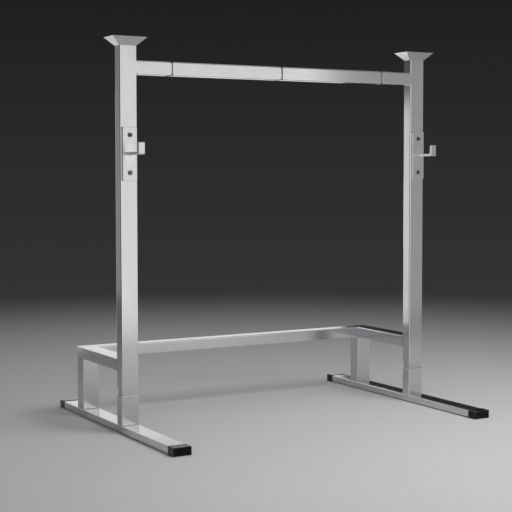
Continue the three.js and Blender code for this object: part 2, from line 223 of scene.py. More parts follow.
def ring(width, depth, corner, inset=0.0, flats=np.array([GUARD])):
    """Points round a rectangle with rounded corners, anticlockwise and centred on zero.

    Each corner is a quarter circle about a centre that lies one corner radius in from both
    sides. An inset makes its radius smaller and moves the sides in. Guard points stand on the
    flats before and after each quarter circle, at the given distances. The second result is 1
    for a point on a quarter circle and 0 for a guard point.
    """
    turn = np.linspace(0.0, QUARTER, CORNER_STEPS + 1)
    angle = np.arange(4)[:, None] * QUARTER + turn
    signs = np.array([[1, 1], [-1, 1], [-1, -1], [1, -1]])
    centres = signs * (np.array([width, depth]) / 2 - corner)
    spokes = circle_at(angle)
    travel = spokes[..., ::-1] * [-1, 1]
    arcs = centres[:, None, :] + spokes * (corner - inset)
    before = arcs[:, :1] - travel[:, :1] * flats[::-1, None]
    after = arcs[:, -1:] + travel[:, -1:] * flats[:, None]
    points = np.concatenate([before, arcs, after], 1).reshape(-1, 2)
    edge = np.zeros((4, CORNER_STEPS + 1 + 2 * len(flats)))
    edge[:, len(flats) : -len(flats)] = 1.0
    return points, edge.ravel()


def lay(points, along, axis):
    """Puts points of a cross-section, and their places along it, in the frame's directions."""
    across, upward, forward = AXES[axis]
    placed = np.empty((len(points), 3))
    placed[:, across] = points[:, 0]
    placed[:, upward] = points[:, 1]
    placed[:, forward] = along
    return placed


def quarter_round(radius, steps):
    """How far each point of a rounded edge lies in from the side, and in from the end.

    The points run along a quarter circle, from the end face to the side. They lie in by the
    radius less its sine, and by the radius less its cosine.
    """
    turn = np.linspace(0.0, QUARTER, steps + 1)
    return radius * (1 - np.sin(turn)), radius * (1 - np.cos(turn))


def skin(grid, marks=0.0, belt=False, closed=(True, True), flip=False):
    """The points, edge marks and faces, in arrays, of a skin over a grid of closed rows.

    Each point is joined to its neighbour in the row and to the same two points of the next
    row. A belt joins its last row to its first. Otherwise the first and the last row are
    closed by a flat face where asked. A flipped skin looks to the other side.
    """
    rows, count = grid.shape[:2]
    index = np.arange(rows * count).reshape(rows, count)
    low = index if belt else index[:-1]
    high = np.roll(index, -1, 0) if belt else index[1:]
    quads = np.stack([low, np.roll(low, -1, 1), np.roll(high, -1, 1), high], -1)
    ends = zip((index[:1, ::-1], index[-1:]), closed)
    faces = [quads.reshape(-1, 4), *(end for end, shut in ends if shut and not belt)]
    if flip:
        faces = [array[:, ::-1] for array in faces]
    return grid, np.broadcast_to(marks, (rows, count)), faces


def make_mesh(name, parts):
    """One mesh of several skins, with points in the same place merged."""
    grids, marks, _ = zip(*parts)
    points = np.concatenate([grid.reshape(-1, 3) for grid in grids])
    edge = np.concatenate([mark.ravel() for mark in marks])
    starts = np.cumsum([0] + [mark.size for mark in marks])
    faces = [array + start for start, part in zip(starts, parts) for array in part[2]]
    keys = np.round(points / MERGE_DISTANCE).astype(np.int64)
    _, first, place = np.unique(keys, axis=0, return_index=True, return_inverse=True)
    faces = [face for array in faces for face in place.ravel()[array].tolist()]
    mesh = bpy.data.meshes.new(name)
    mesh.from_pydata(points[first].tolist(), [], faces)
    attribute = mesh.attributes.new("edge", "FLOAT", "POINT")
    attribute.data.foreach_set("value", edge[first])
    mesh.shade_smooth()
    mesh.set_sharp_from_angle(angle=SHARP_ANGLE)
    return mesh


def add_object(name, data):
    """A new object in the scene."""
    made = bpy.data.objects.new(name, data)
    bpy.context.scene.collection.objects.link(made)
    return made


def add_piece(name, parts, finish, slot, *nodes):
    """Shows skins as a piece with a finish, in place of the solids that it stands for."""
    mesh = make_mesh(name, parts)
    mesh.materials.append(finish)
    piece = add_object(name, mesh)
    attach(piece, "root")
    if nodes:
        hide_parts(*nodes)


def mitre_shift(points, mitre, size):
    """How far a mitred end lies in from the end of the tube, at each point of its section.

    It is half the run, less the run times the share of the size across.
    """
    if mitre is None:
        return np.zeros(len(points))
    direction, run = mitre
    return abs(run) / 2 - run * points[:, direction] / size[direction]


def crown_shift(points, radius, height):
    """How far an end with rounded upper and lower corners lies in, at each point of its section.

    It is nothing in the middle, and follows a quarter circle up to the full radius at the top
    and at the bottom.
    """
    over = np.clip(np.abs(points[:, 1]) - (height / 2 - radius), 0.0, radius)
    return radius - np.sqrt(radius**2 - over**2)


def loft(node, axis, rows, **settings):
    """A skin over rings that are laid along an axis about the middle of a solid.

    Each row holds a ring's points, their places along the axis and their edge marks.
    """
    middle = sum(span(node)) / 2
    middle[AXES[axis][2]] = 0.0
    grid = np.array([lay(points, along, axis) for points, along, _ in rows]) + middle
    return [skin(grid, np.array([row[2] for row in rows]), **settings)]


def tube(node, axis, wall=TUBE_WALL, corner=TUBE_CORNER, breaks=None, mitres=(None, None), crown=0.0):
    """The skin of a rectangular tube in the place of a solid, with its bore.

    A ring is carried from the start along the outside to the end, and back through the bore.
    At each sawn end the ring grows and moves out along a quarter circle, which breaks the edge.
    The far end may also have its upper and lower corners rounded.
    """
    lo, hi = span(node)
    across, upward, forward = AXES[axis]
    size = (hi[across] - lo[across], hi[upward] - lo[upward])
    soft = bpy.context.scene.stand_shape.edge_break
    breaks = breaks or (soft, soft)
    plan = []
    for end in (0, 1):
        side, face = quarter_round(breaks[end], BREAK_STEPS)
        # The first row, on the sawn end face, carries the mark for painted shade.
        insets = [breaks[end] + SAWN_RIM, *side, 0.0]
        places = [0.0, *face, breaks[end] + GUARD]
        flags = [SAWN_SHADE_MARK, *np.ones(len(face)), 0.0]
        steps = list(zip(insets, places, flags))
        plan += [(end, 0.0, *step) for step in (steps[::-1] if end else steps)]
    # The bore's rows carry the mark for painted shade as well.
    plan += [(1, wall, 0.0, 0.0, SAWN_SHADE_MARK), (0, wall, 0.0, 0.0, SAWN_SHADE_MARK)]
    flats = CROWN_FLATS if crown else CROWN_FLATS[:1]
    rows = []
    for end, skip, inset, place, flag in plan:
        radius = BORE_CORNER if skip else corner
        points, edge = ring(size[0] - 2 * skip, size[1] - 2 * skip, radius, inset, flats)
        inward = place + mitre_shift(points, mitres[end], size)
        inward += crown_shift(points, crown * end, size[1])
        along = hi[forward] - inward if end else lo[forward] + inward
        mark = np.full(len(edge), SAWN_SHADE_MARK) if flag == SAWN_SHADE_MARK else np.maximum(edge, flag)
        rows.append((points, along, mark))
    return loft(node, axis, rows, belt=True)


def boot(node, facing):
    """A moulded boot over the end of a foot.

    A ring is carried from the floor of the pocket out to the mouth, round the rim, along the
    lip, down a small step and along the body, and in over the rounded closed end.
    """
    lo, hi = span(node)
    size = hi - lo
    length = size[1]
    rim = BOOT_STEP
    plan = [
        (BOOT_WALL, length - BOOT_END, 0.0),
        (BOOT_WALL, rim, 1.0),
        (BOOT_WALL - rim, 0.0, 1.0),
        (rim, 0.0, 1.0),
        (0.0, rim, 1.0),
        (0.0, BOOT_LIP, 1.0),
        (BOOT_STEP, BOOT_LIP + BOOT_STEP, BOOT_STEP_MARK),
        (BOOT_STEP, BOOT_LIP + BOOT_STEP + GUARD, 0.0),
        (BOOT_STEP, length - BOOT_ROUND - GUARD, 0.0),
    ]
    falls, insets = quarter_round(BOOT_ROUND, BOOT_ROUND_STEPS)
    plan += [(BOOT_STEP + inset, length - fall, 1.0) for inset, fall in zip(insets, falls)]
    plan.append((BOOT_CORNER - BOOT_STEP / 2, length, 0.0))
    rows = []
    for inset, place, flag in plan:
        points, edge = ring(size[2], size[0], BOOT_CORNER, inset)
        along = lo[1] + place if facing > 0 else hi[1] - place
        rows.append((points, along, np.maximum(edge, flag)))
    rows[-1] = (points, along, np.zeros(len(edge)))
    return loft(node, "y", rows, flip=facing < 0)


def flare_size(flare, column, level):
    """Width and depth of a flared top at a level, and how far up it that is.

    Both grow in a straight line from the column out to the rim.
    """
    (lo, hi), (foot_lo, foot_hi) = span(flare), span(column)
    foot, rim = (foot_hi - foot_lo)[:2], (hi - lo)[:2]
    share = (level - lo[2]) / (hi[2] - lo[2])
    return foot + (rim - foot) * share, share


def flared_top(node, column):
    """Four sloping sheets from the column's end out to the rim, in the place of a solid.

    The skin runs up the outside, over the rim, whose edge is broken, and down the inside.
    """
    lo, hi = span(node)
    soft = bpy.context.scene.stand_shape.edge_break
    plan = [
        (lo[2], 0.0, 0.0),
        (lo[2] + GUARD, 0.0, 0.0),
        (hi[2] - soft - GUARD, 0.0, 0.0),
        (hi[2] - soft, 0.0, 1.0),
        (hi[2], soft, 1.0),
        (hi[2], FLARE_WALL, 1.0),
        (lo[2], FLARE_WALL, 0.0),
    ]
    rows = []
    for level, skip, flag in plan:
        size, share = flare_size(node, column, level)
        corner = TUBE_CORNER + (FLARE_CORNER - TUBE_CORNER) * share
        corner = BORE_CORNER if skip == FLARE_WALL else corner
        points, edge = ring(*(size - 2 * skip), corner)
        rows.append((points, level, np.maximum(edge, flag)))
    return loft(node, "z", rows, belt=True)


def flare_lid(node, flare, column):
    """The sheet that closes a flared top, with sloping sides and a broken top edge."""
    lo, hi = span(node)
    soft = bpy.context.scene.stand_shape.edge_break
    plan = [
        (lo[2], 0.0, 1.0),
        (hi[2] - soft, 0.0, 1.0),
        (hi[2], soft, 1.0),
        (hi[2], soft + GUARD, 0.0),
    ]
    rows = []
    for level, skip, flag in plan:
        size = flare_size(flare, column, level)[0] - 2 * (FLARE_WALL + LID_PLAY + skip)
        points, edge = ring(*size, FLARE_CORNER)
        rows.append((points, level, np.full(len(edge), flag)))
    return loft(node, "z", rows)


def circle_at(angle, radius=1.0):
    """Points of a circle at the given angles."""
    return np.stack([np.cos(angle), np.sin(angle)], -1) * radius


def between(first, last):
    """The points in equal steps between two points, without the two."""
    return first + np.linspace(0.0, 1.0, SEAM_STEPS + 1)[1:-1, None] * (last - first)


def upper_half(width, height, corner):
    """The upper half of a rounded rectangle's outline, from its right side round to its left.

    The second result is the outward direction at each point.
    """
    turn = np.linspace(0.0, QUARTER, CORNER_STEPS + 1)
    angle = np.concatenate([turn, turn + QUARTER])
    spokes = circle_at(angle)
    side = np.repeat([1.0, -1.0], CORNER_STEPS + 1)[:, None]
    arcs = spokes * corner + side * [width / 2 - corner, 0.0] + [0.0, height / 2 - corner]
    steps = np.linspace(0.0, 1.0, SIDE_STEPS + 1)[:-1, None]
    right = [width / 2, 0.0] + steps * [0.0, height / 2 - corner]
    half = CORNER_STEPS + 1
    top = between(arcs[CORNER_STEPS], arcs[half])
    left = (right * [-1, 1])[::-1]
    outline = np.concatenate([right, arcs[:half], top, arcs[half:], left])
    flats = [np.tile(way, (len(run), 1)) for way, run in (([1.0, 0.0], right), ([0.0, 1.0], top))]
    outward = np.concatenate([flats[0], spokes[:half], flats[1], spokes[half:], -flats[0]])
    return outline, outward


def plate_cell(half, outward, hole_height, front, rear, soft):
    """One half of a hook plate, with its counterbored hole.

    Rows of points run from the outline and the seam across the middle in to the hole, down its
    chamfer and wall, over its seat, through the bolt hole and out over the rear face. Each point
    of a circle lies on the line from its centre to the outline's point.
    """
    seam = between(half[-1], half[0])
    loop = np.concatenate([half, seam])
    away = np.concatenate([outward, np.zeros_like(seam)])
    centre = np.array([0.0, hole_height])
    spoke = loop - centre
    angle = np.arctan2(spoke[:, 1], spoke[:, 0])
    bore = COUNTERBORE / 2
    seat = front + COUNTERBORE_DEPTH
    hole = [
        (bore + soft + GUARD, front, 0.0),
        (bore + soft, front, 1.0),
        (bore, front + soft, 1.0),
        (bore, seat, BORE_MARK),
        (BOLT_HOLE / 2, seat, BORE_MARK),
        (BOLT_HOLE / 2, rear, 0.0),
    ]
    rows = [
        (loop - away * soft, front, 1.0),
        (loop - away * (soft + GUARD), front, 0.0),
        *((centre + circle_at(angle, radius), depth, mark) for radius, depth, mark in hole),
        (loop, rear, 0.0),
    ]
    grid = np.array([lay(points[:, ::-1], depth, "y") for points, depth, _ in rows])
    return skin(grid, [[row[2]] for row in rows], closed=(False, False))


def hook_plate(node):
    """A hook plate: two cells round the counterbored holes and a rim with broken edges."""
    lo, hi = span(node)
    width, depth, height = hi - lo
    soft = bpy.context.scene.stand_shape.plate_break
    half, outward = upper_half(width, height, PLATE_CORNER)
    parts = [
        plate_cell(half, outward, BOLT_SPACING / 2, lo[1], hi[1], soft),
        plate_cell(-half, -outward, -BOLT_SPACING / 2, lo[1], hi[1], soft),
    ]
    outline = np.concatenate([half[:-1], -half[:-1]])
    away = np.concatenate([outward[:-1], -outward[:-1]])
    side, face = quarter_round(soft, BREAK_STEPS)
    plan = list(zip([*side, 0.0, 0.0], [*face, soft + GUARD, depth]))
    grid = np.array([lay((outline - away * inset)[:, ::-1], lo[1] + y, "y") for inset, y in plan])
    marks = [[1.0]] * len(face) + [[0.0]] * 2
    parts.append(skin(grid, marks, closed=(False, False), flip=True))
    middle = (lo + hi) / 2
    middle[1] = 0.0
    return [(points + middle, edge, faces) for points, edge, faces in parts]


def j_hook(node):
    """A J-hook: a rounded section carried along the arm, round the bend and up the lip.

    The section reaches from an outer line, which is the underside and the front, to an inner
    line, which is the rest and the back of the lip. Each line is straight, then a quarter circle
    of its own radius, then straight. At the tip the section shrinks along a quarter circle.
    """
    lo, hi = span(node)
    soft = bpy.context.scene.stand_shape.plate_break
    width = hi[0] - lo[0]
    falls, shrink = quarter_round(1.0, TIP_STEPS)
    levels = hi[2] - HOOK_TIP * np.array([1.0, *falls])
    levels[0] -= GUARD
    arm = np.array([hi[1], hi[1] - GUARD])

    def line(y, z, radius):
        """Along the arm at a height, round a quarter circle and up the lip at a depth."""
        bend = np.stack(quarter_round(radius, BEND_STEPS), -1) + (y, z)
        ends = [np.stack(np.broadcast_arrays(*end), -1) for end in ((arm, z), (y, levels))]
        return np.concatenate([ends[0], bend, ends[1]])

    inner = line(lo[1] + HOOK_STOCK, lo[2] + HOOK_STOCK, HOOK_BEND_INSIDE)
    outer = line(lo[1], lo[2], HOOK_BEND_OUTSIDE)
    shrinks = np.concatenate([np.zeros(len(inner) - len(shrink)), shrink])
    section, edge = ring(width, HOOK_STOCK, HOOK_CORNER)
    squeeze = (1 - 2 * HOOK_TIP / HOOK_STOCK * shrinks)[:, None]
    share = section[:, 1] / HOOK_STOCK * squeeze + 1 / 2
    side = section[:, 0] * (1 - 2 * soft / width * shrinks)[:, None]
    grid = np.empty((len(inner), len(section), 3))
    grid[:, :, 0] = side + (lo[0] + hi[0]) / 2
    grid[:, :, 1] = outer[:, None, 0] * (1 - share) + inner[:, None, 0] * share
    grid[:, :, 2] = outer[:, None, 1] * (1 - share) + inner[:, None, 1] * share
    return [skin(grid, np.maximum(edge, (shrinks > 0)[:, None]))]


def turned_grid(rows, centre, facing):
    """Rings about an axis along Y, each with a radius, a place along it and a form.

    The form blends a circle, 0, into a hexagon, 1, whose flats lie at the radius. A hexagon's
    radius at an angle is the flat's distance over the cosine of the angle to the nearest flat.
    """
    angle = np.arange(TURN_STEPS) * (4 * QUARTER / TURN_STEPS)
    sixth = 4 * QUARTER / 6
    nearest = (angle + sixth / 2) % sixth - sixth / 2
    hexagon = 1 / np.cos(nearest)
    radius, place, form = (np.array(column)[:, None] for column in zip(*rows))
    reach = radius * (1 + form * (hexagon - 1))
    sideward, upward = (np.sin(angle), np.cos(angle))[::facing]
    grid = np.empty((len(rows), TURN_STEPS, 3))
    grid[:, :, 0] = centre[0] + reach * sideward
    grid[:, :, 1] = centre[1] + facing * place
    grid[:, :, 2] = centre[2] + reach * upward
    return grid


def screw(node, size, facing, domed):
    """A screw with a hexagon socket, its head facing the front (-1) or the rear (1)."""
    lo, hi = span(node)
    shank, head, head_height, socket, socket_depth = size
    soft = head_height * BREAK_SHARE
    if domed:
        rise = np.linspace(0.0, QUARTER * DOME_TURN_SHARE, DOME_STEPS + 1)
        top = head_height * math.sin(QUARTER * DOME_RISE_SHARE)
        curve = np.sin(rise) / math.sin(rise[-1])
        outline = [(head / 2 * math.cos(a), top * c, 0.0) for a, c in zip(rise, curve)]
    else:
        top = head_height
        inner = soft * INNER_BREAK_SHARE
        outline = [
            (head / 2 - soft / 2, 0.0, 0.0),
            (head / 2, soft / 2, 0.0),
            (head / 2, top - soft, 0.0),
            (head / 2 - inner, top - inner, 0.0),
            (head / 2 - soft, top, 0.0),
        ]
    length = hi[1] - lo[1] - top
    rows = [
        (shank / 2 - soft, -length, 0.0),
        (shank / 2, -length + soft, 0.0),
        (shank / 2, 0.0, 0.0),
        *outline,
        (socket * MOUTH_SHARE, top, 0.0),
        (socket / 2, top - soft / 2, 1.0),
        (socket / 2, top - socket_depth, 1.0),
        (socket * POINT_SHARE, top - socket_depth - soft, 0.0),
    ]
    seat = lo[1] + top if facing < 0 else hi[1] - top
    centre = ((lo[0] + hi[0]) / 2, seat, (lo[2] + hi[2]) / 2)
    grid = turned_grid(rows, centre, facing)
    return [skin(grid, [[float(row[1] >= top - soft)] for row in rows])]


def fillet(start, end, out, up, share=1.0):
    """A fillet weld along the corner between two faces, with a share of the usual leg.

    Its section goes from the corner out along one face, over a low bulge and back down the
    other face. The bulge is partly the straight line between the legs and partly the quarter
    circle. Along the weld it swells with a cosine of the distance, later in the middle of the
    bulge than at the legs, and it narrows at both ends as the root of the distance does.
    """
    shape = bpy.context.scene.stand_shape
    leg, pitch = shape.weld_leg * share, shape.weld_pitch
    start, end, out, up = (np.array(v, float) for v in (start, end, out, up))
    if np.dot(np.cross(out, up), end - start) < 0:
        start, end = end, start
    length = np.linalg.norm(end - start)
    along = (end - start) / length
    rows = int(length / pitch * RIPPLE_STEPS)
    place = np.linspace(0.0, length, rows)[:, None]
    over = np.linspace(0.0, 1.0, BEAD_STEPS + 1)
    chord = np.stack([1 - over, over], -1)
    bulge = STRAIGHT_SHARE * chord + (1 - STRAIGHT_SHARE) * circle_at(over * QUARTER)
    lag = RIPPLE_LAG * (1 - (2 * over - 1) ** 2)
    ripple = 1 + RIPPLE_SWELL * np.cos(4 * QUARTER * (place / pitch - lag))
    near_end = np.sqrt(np.clip(np.minimum(place, length - place) / (TAPER_LEGS * leg), 0.0, 1.0))
    size = leg * ripple * (TAPER_SHARE + (1 - TAPER_SHARE) * near_end)
    grid = np.empty((rows, len(over) + 1, 3))
    grid[:, 0] = start + place * along
    grid[:, 1:] = grid[:, :1] + size[:, :, None] * (bulge @ [out, up])
    return skin(grid)


def cross_weld(node, level, rearward, upward):
    """A weld along X on the front or rear face of a solid, at a level."""
    lo, hi = span(node)
    face = hi[1] if rearward > 0 else lo[1]
    ends = [(place, face, level) for place in (lo[0] + TUBE_CORNER, hi[0] - TUBE_CORNER)]
    return fillet(*ends, (0, rearward, 0), (0, 0, upward))


def side_weld(node, face, level, sideward, upward):
    """A weld along Y at the depth of a solid, on a face that looks to the side, at a level."""
    lo, hi = span(node)
    ends = [(face, place, level) for place in (lo[1] + TUBE_CORNER, hi[1] - TUBE_CORNER)]
    return fillet(*ends, (sideward, 0, 0), (0, 0, upward))


def hook_welds(side):
    """The welds beside and under the arm of a side's hook, where it meets its plate."""
    lo, hi = span(f"{side}_j_hook")
    face = span(f"{side}_hook_plate")[0][1]
    soft = bpy.context.scene.stand_shape.plate_break
    low, high = lo[2] + soft, lo[2] + HOOK_STOCK - soft
    runs = [
        ((lo[0], face, low), (lo[0], face, high), (-1, 0, 0), (0, -1, 0)),
        ((hi[0], face, low), (hi[0], face, high), (1, 0, 0), (0, -1, 0)),
        ((lo[0] + soft, face, lo[2]), (hi[0] - soft, face, lo[2]), (0, -1, 0), (0, 0, -1)),
    ]
    return [fillet(*run, HOOK_WELD_SHARE) for run in runs]


def flush_weld(inner, bar_end, face, inward, levels):
    """A weld ground flush with two tubes, in the groove beside the rounded edge of one.

    Its section runs along the quarter circle of the edge, then out along the end of the other
    tube and back in the plane of both faces.
    """
    outward = np.sign(inner - bar_end)
    side, end = quarter_round(TUBE_CORNER, CORNER_STEPS)
    across, depth = inner + outward * side, face + inward * end
    across = np.append(across, [bar_end, bar_end])
    section = np.stack([across, np.append(depth, [depth[-1], face])], -1)
    section = section if outward * inward > 0 else section[::-1]
    return skin(np.array([lay(section, level, "z") for level in levels]))


# Noises: scale per metre, detail and roughness.
GRAIN = (1900.0, 3.0, 0.6)
STREAKS = (260.0, 3.0, 0.55)
CLOUDS = (11.0, 4.0, 0.55)
RUBBED = (45.0, 3.0, 0.6)
TINTED = (90.0, 2.0, 0.5)
GRIT = (1400.0, 3.0, 0.5)
MOTTLE = (420.0, 4.0, 0.6)
SCUFFS = (60.0, 4.0, 0.6)
MOULD_GRAIN = (2600.0, 2.0, 0.5)
FLOOR_CLOUDS = (1.3, 2.0, 0.5)

# Ranges: the two ends of a noise, and what they become.
STEEL_WEAR_AND_HIGHLIGHT = (0.35, 0.6, 0.6, 1.0)
STEEL_SPREAD = (0.75, 1.25, 0.0, 1.0)
WELD_PATCHES = (0.4, 0.62, 0.0, 1.0)
WELD_ROUGHNESS = (0.3, 0.7, 0.24, 0.34)
BOLT_WEAR = (0.42, 0.62, 0.0, 0.8)
BOLT_ROUGHNESS = (0.3, 0.7, 0.28, 0.42)
BOOT_WEAR_AND_HIGHLIGHT = (0.4, 0.65, 0.1, 1.0)
BOOT_ROUGHNESS = (0.3, 0.7, 0.07, 0.13)

# Bumps: depth and strength.
WELD_BUMPS = (0.03 * MM, 0.6)
BOLT_BUMPS = (0.03 * MM, 0.5)
BOOT_BUMPS = (0.01 * MM, 0.08)
GRAIN_STRENGTH = 0.06

# Steels: share of the steel's colour, roughness added to its own, and depth of the grain.
STEELS = {
    "satin_steel": (1.0, 0.0, 0.02 * MM),
    "spigot_steel": (0.93, 0.05, 0.03 * MM),
    # The flared tops: a darker copy of the satin steel, with shade painted into its colour.
    "shade_painted_flare_steel": (0.82, 0.0, 0.02 * MM),
    # The crossbar's spigots: rougher, and a darker copy of the steel that paints shade into the
    # joints.
    "dull_shade_painted_spigot_steel": (0.75, 0.15, 0.03 * MM),
    "hook_plate_steel": (1.0, 0.03, 0.03 * MM),
}
# Shares of a colour: dark and light parts, and of steel also its worn edges, brighter with a
# painted highlight, and its sawn ends and bores, dark with painted shade.
STEEL_TONES = (0.975, 1.025, 1.15, 0.2)
BOLT_TONES = (0.7, 1.4)
FLOOR_TONES = (0.985, 1.015)
# Roughness added to steel, from one end of a range of tones to the other, and on worn edges.
GLOSS_RANGE = (0.7, 1.3)
GLOSS_CHANGES = (0.03, -0.025)
EDGE_GLOSS = -0.05
# The share of its scale that a noise has along the grain.
GRAIN_STRETCH = 0.02
STRAW_TINT = (0.97, 0.94, 0.88)
BLUE_TINT = (0.90, 0.93, 0.98)
BARE_BOLT = (0.42, 0.42, 0.43)
# The grey of the boots' rubbed edges: wear, and also a painted highlight.
RUBBED_AND_HIGHLIT_PLASTIC = (0.13, 0.13, 0.133)
PLASTIC_MIRROR = (0.25, 0.25, 0.25, 1.0)
FLOOR_ROUGHNESS = 0.9

# The places of the two colours and of the blend among a mix node's sockets.
COLOUR_INPUTS = (6, 7)
COLOUR_OUTPUT = 2


def feed(tree, node, feeds):
    """Feeds the inputs of a node by sockets or by values."""
    for key, source in feeds.items():
        if isinstance(source, bpy.types.NodeSocket):
            tree.links.new(source, node.inputs[key])
        else:
            node.inputs[key].default_value = source


def link(tree, kind, feeds=None, **settings):
    """A new node of a kind, with its own settings and its inputs fed."""
    made = tree.nodes.new(kind)
    for key, value in settings.items():
        setattr(made, key, value)
    feed(tree, made, feeds or {})
    return made


def reckon(tree, operation, *values):
    """The result of a reckoning with values."""
    feeds = dict(enumerate(values))
    return link(tree, "ShaderNodeMath", feeds, operation=operation).outputs[0]


def ramp(tree, value, low, high, out_low, out_high):
    """A value spread from one range to another and held at its ends."""
    feeds = {"Value": value, 1: low, 2: high, 3: out_low, 4: out_high}
    return link(tree, "ShaderNodeMapRange", feeds, clamp=True).outputs["Result"]


def mix(tree, share, *colours):
    """A blend of two colours."""
    feeds = {"Factor": share}
    for place, colour in zip(COLOUR_INPUTS, colours):
        feeds[place] = colour if isinstance(colour, bpy.types.NodeSocket) else (*colour, 1.0)
    return link(tree, "ShaderNodeMix", feeds, data_type="RGBA").outputs[COLOUR_OUTPUT]


def noise(tree, place, scale, detail, roughness):
    """Noise of a scale per metre along the given coordinates."""
    feeds = {"Vector": place, "Scale": scale, "Detail": detail, "Roughness": roughness}
    return link(tree, "ShaderNodeTexNoise", feeds).outputs["Fac"]


def bumps(tree, height, depth, strength):
    """The surface's direction, bent by heights."""
    feeds = {"Height": height, "Distance": depth, "Strength": strength}
    return link(tree, "ShaderNodeBump", feeds).outputs["Normal"]


def wear(tree, clouds, reach):
    """The edge mark, and the same mark broken into patches by clouds in a range."""
    edge = link(tree, "ShaderNodeAttribute", attribute_name="edge").outputs["Fac"]
    return edge, reckon(tree, "MULTIPLY", edge, ramp(tree, clouds, *reach))


def shades(colour, shares):
    """A colour made lighter or darker by each share."""
    return [tuple(min(channel * share, 1.0) for channel in colour) for share in shares]


def finished(name, surface, *settings):
    """The finish of a name, whose surface is laid out when it is first asked for."""
    if name not in bpy.data.materials:
        material = bpy.data.materials.new(name)
        material.use_nodes = True
        tree = material.node_tree
        place = link(tree, "ShaderNodeTexCoord").outputs["Object"]
        feed(tree, tree.nodes["Principled BSDF"], surface(tree, place, *settings))
    return bpy.data.materials[name]


def steel_surface(tree, place, axis, share, dulling, depth):
    """Satin steel, drawn along an axis.

    Fine grain and wider streaks are noise stretched along the bar. Clouds of handling change
    the tone and the gloss slowly, and the edges are burnished brighter in broken patches, which
    is wear and also a painted highlight. Where the edge mark is below zero, at sawn ends and in
    bores, shade is painted into the steel, dark and dull.
    """
    own = bpy.context.scene.stand_finish
    roughness = own.steel_roughness + dulling
    dark, light, worn_and_highlight, painted_end_shade = shades(*shades(own.steel_colour, [share]), STEEL_TONES)
    stretch = tuple(GRAIN_STRETCH if letter == axis else 1.0 for letter in AXES)
    drawn = link(tree, "ShaderNodeMapping", {"Vector": place, "Scale": stretch}).outputs["Vector"]
    streaks = noise(tree, drawn, *STREAKS)
    tone = reckon(tree, "ADD", streaks, noise(tree, place, *CLOUDS))
    # Worn edges, broken into patches: wear, and also a painted highlight in the brighter colour.
    edge, worn = wear(tree, noise(tree, place, *RUBBED), STEEL_WEAR_AND_HIGHLIGHT)
    body = mix(tree, ramp(tree, tone, *STEEL_SPREAD), dark, light)
    # Painted shade: sawn ends and bores take a fifth of the steel's colour.
    ends = ramp(tree, edge, SAWN_SHADE_MARK, 0.0, 1.0, 0.0)
    gloss = ramp(tree, tone, *GLOSS_RANGE, *(roughness + change for change in GLOSS_CHANGES))
    height = reckon(tree, "ADD", noise(tree, drawn, *GRAIN), streaks)
    return {
        "Base Color": mix(tree, ends, mix(tree, worn, body, worn_and_highlight), painted_end_shade),
        "Roughness": reckon(tree, "MULTIPLY_ADD", worn, EDGE_GLOSS, gloss),
        "Normal": bumps(tree, height, depth, GRAIN_STRENGTH),
        "Metallic": 1.0,
    }


def weld_surface(tree, place):
    """Brushed weld metal, a little rougher, with a faint straw and blue tint in patches."""
    colour = bpy.context.scene.stand_finish.steel_colour
    patches = ramp(tree, noise(tree, place, *TINTED), *WELD_PATCHES)
    grit = noise(tree, place, *GRIT)
    return {
        "Base Color": mix(tree, patches, *np.multiply(colour, (STRAW_TINT, BLUE_TINT))),
        "Roughness": ramp(tree, grit, *WELD_ROUGHNESS),
        "Normal": bumps(tree, grit, *WELD_BUMPS),
        "Metallic": 1.0,
    }


def bolt_surface(tree, place):
    """Blackened and oiled steel, with the black rubbed off its edges in patches."""
    colour = bpy.context.scene.stand_finish.bolt_colour
    mottle = noise(tree, place, *MOTTLE)
    _, worn = wear(tree, mottle, BOLT_WEAR)
    body = mix(tree, mottle, *shades(colour, BOLT_TONES))
    return {
        "Base Color": mix(tree, worn, body, BARE_BOLT),
        "Roughness": ramp(tree, mottle, *BOLT_ROUGHNESS),
        "Normal": bumps(tree, mottle, *BOLT_BUMPS),
        "Metallic": 1.0,
    }


def boot_surface(tree, place):
    """Glossy black plastic, with a fine moulded grain and edges rubbed a little grey, which is
    wear and also a painted highlight.

    It mirrors little from straight on, and much at a low angle.
    """
    colour = bpy.context.scene.stand_finish.plastic_colour
    clouds = noise(tree, place, *SCUFFS)
    _, worn = wear(tree, clouds, BOOT_WEAR_AND_HIGHLIGHT)
    return {
        "Base Color": mix(tree, worn, colour, RUBBED_AND_HIGHLIT_PLASTIC),
        "Roughness": ramp(tree, clouds, *BOOT_ROUGHNESS),
        "Specular Tint": PLASTIC_MIRROR,
        "Normal": bumps(tree, noise(tree, place, *MOULD_GRAIN), *BOOT_BUMPS),
    }


def steel(kind, axis):
    """The finish of a kind of steel, drawn along an axis."""
    return finished(f"{kind}_{axis}", steel_surface, axis, *STEELS[kind])


def add_tube(name, node, axis, kind="satin_steel", slot="frame_steel", **form):
    """Shows a tube of a form in the place of a solid, drawn along its own axis."""
    add_piece(name, tube(node, axis, **form), steel(kind, axis), slot, node)


def add_spigot(name, node, axis, kind):
    """Shows a spigot in the place of a solid."""
    add_tube(name, node, axis, kind, "spigot_steel", corner=SPIGOT_CORNER)


def refinish(node, finish):
    """Gives a solid that stays in view a better finish."""
    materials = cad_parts[node].data.materials
    materials.clear()
    materials.append(finish)


# How far from the stand the painted pool of light on the floor starts to fade, and where the
# floor has the backdrop's colour.
PAINTED_POOL_REACH = 1.0
PAINTED_POOL_END = 4.6


